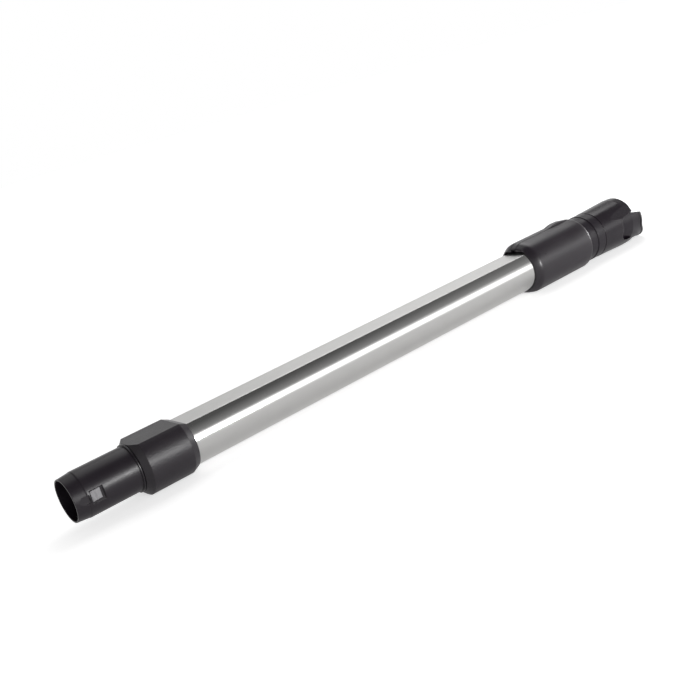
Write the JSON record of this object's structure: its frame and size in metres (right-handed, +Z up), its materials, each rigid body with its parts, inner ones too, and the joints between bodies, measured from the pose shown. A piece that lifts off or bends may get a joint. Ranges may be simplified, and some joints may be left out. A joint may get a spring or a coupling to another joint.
{
  "type": "telescopic vacuum cleaner wand",
  "caption": "Telescopic steel suction tube with a flat along its top, black plastic nozzle spigot, lock collar with a sliding release and a hooded handle socket.",
  "frame": {"origin": "on the surface the wand lies on, below the middle of its length, tube in its shortest setting", "axes": "+X along the tube from the nozzle spigot to the handle socket, +Z up out of the tube's flat, -Y towards the side with the spigot's latch pocket"},
  "size_m": [0.634, 0.05, 0.0496],
  "materials": {
    "tube_steel": "brushed along the tube",
    "pin_steel": "ground",
    "spring_steel": "blued strip",
    "spigot_plastic": "satin",
    "collar_plastic": "fine grain",
    "lock_plastic": "smooth satin",
    "slider_plastic": "satin",
    "inner_plastic": "moulded",
    "socket_plastic": "satin",
    "cover_plastic": "satin",
    "seal_rubber": "matte"
  },
  "bodies": {
    "outer": {"outer_tube": "tube_steel", "nozzle_spigot": "spigot_plastic", "lower_collar": "collar_plastic", "lock_body": "lock_plastic", "guide_bush": "inner_plastic", "lock_end_ring": "inner_plastic", "wiper_ring": "seal_rubber", "pawl_pin": "pin_steel", "pawl_spring": "spring_steel"},
    "slider": {"release_slider": "slider_plastic"},
    "pawl": {"lock_pawl": "inner_plastic"},
    "telescope": {"inner_tube": "tube_steel", "guide_ring": "inner_plastic", "front_ring": "socket_plastic", "handle_socket": "socket_plastic", "socket_cover": "cover_plastic"}
  },
  "joints": [
    {"name": "telescope_slide", "type": "slide", "parent": "outer", "child": "telescope", "axis": [1, 0, 0], "range_m": [0, 0.36]},
    {"name": "release_slide", "type": "slide", "parent": "outer", "child": "slider", "axis": [-1, 0, 0], "range_m": [0, 0.006], "stiffness_N_per_m": 600, "springref_m": -0.002},
    {"name": "pawl_lift", "type": "hinge", "parent": "outer", "child": "pawl", "pos_m": [0.1885, 0, 0.0395], "axis": [0, -1, 0], "range_deg": [0, 6], "deforming": ["pawl_spring"]}
  ],
  "couplings": [
    {"joint": "pawl_lift", "follows": "release_slide", "rad_per_m": 17.453}
  ]
}
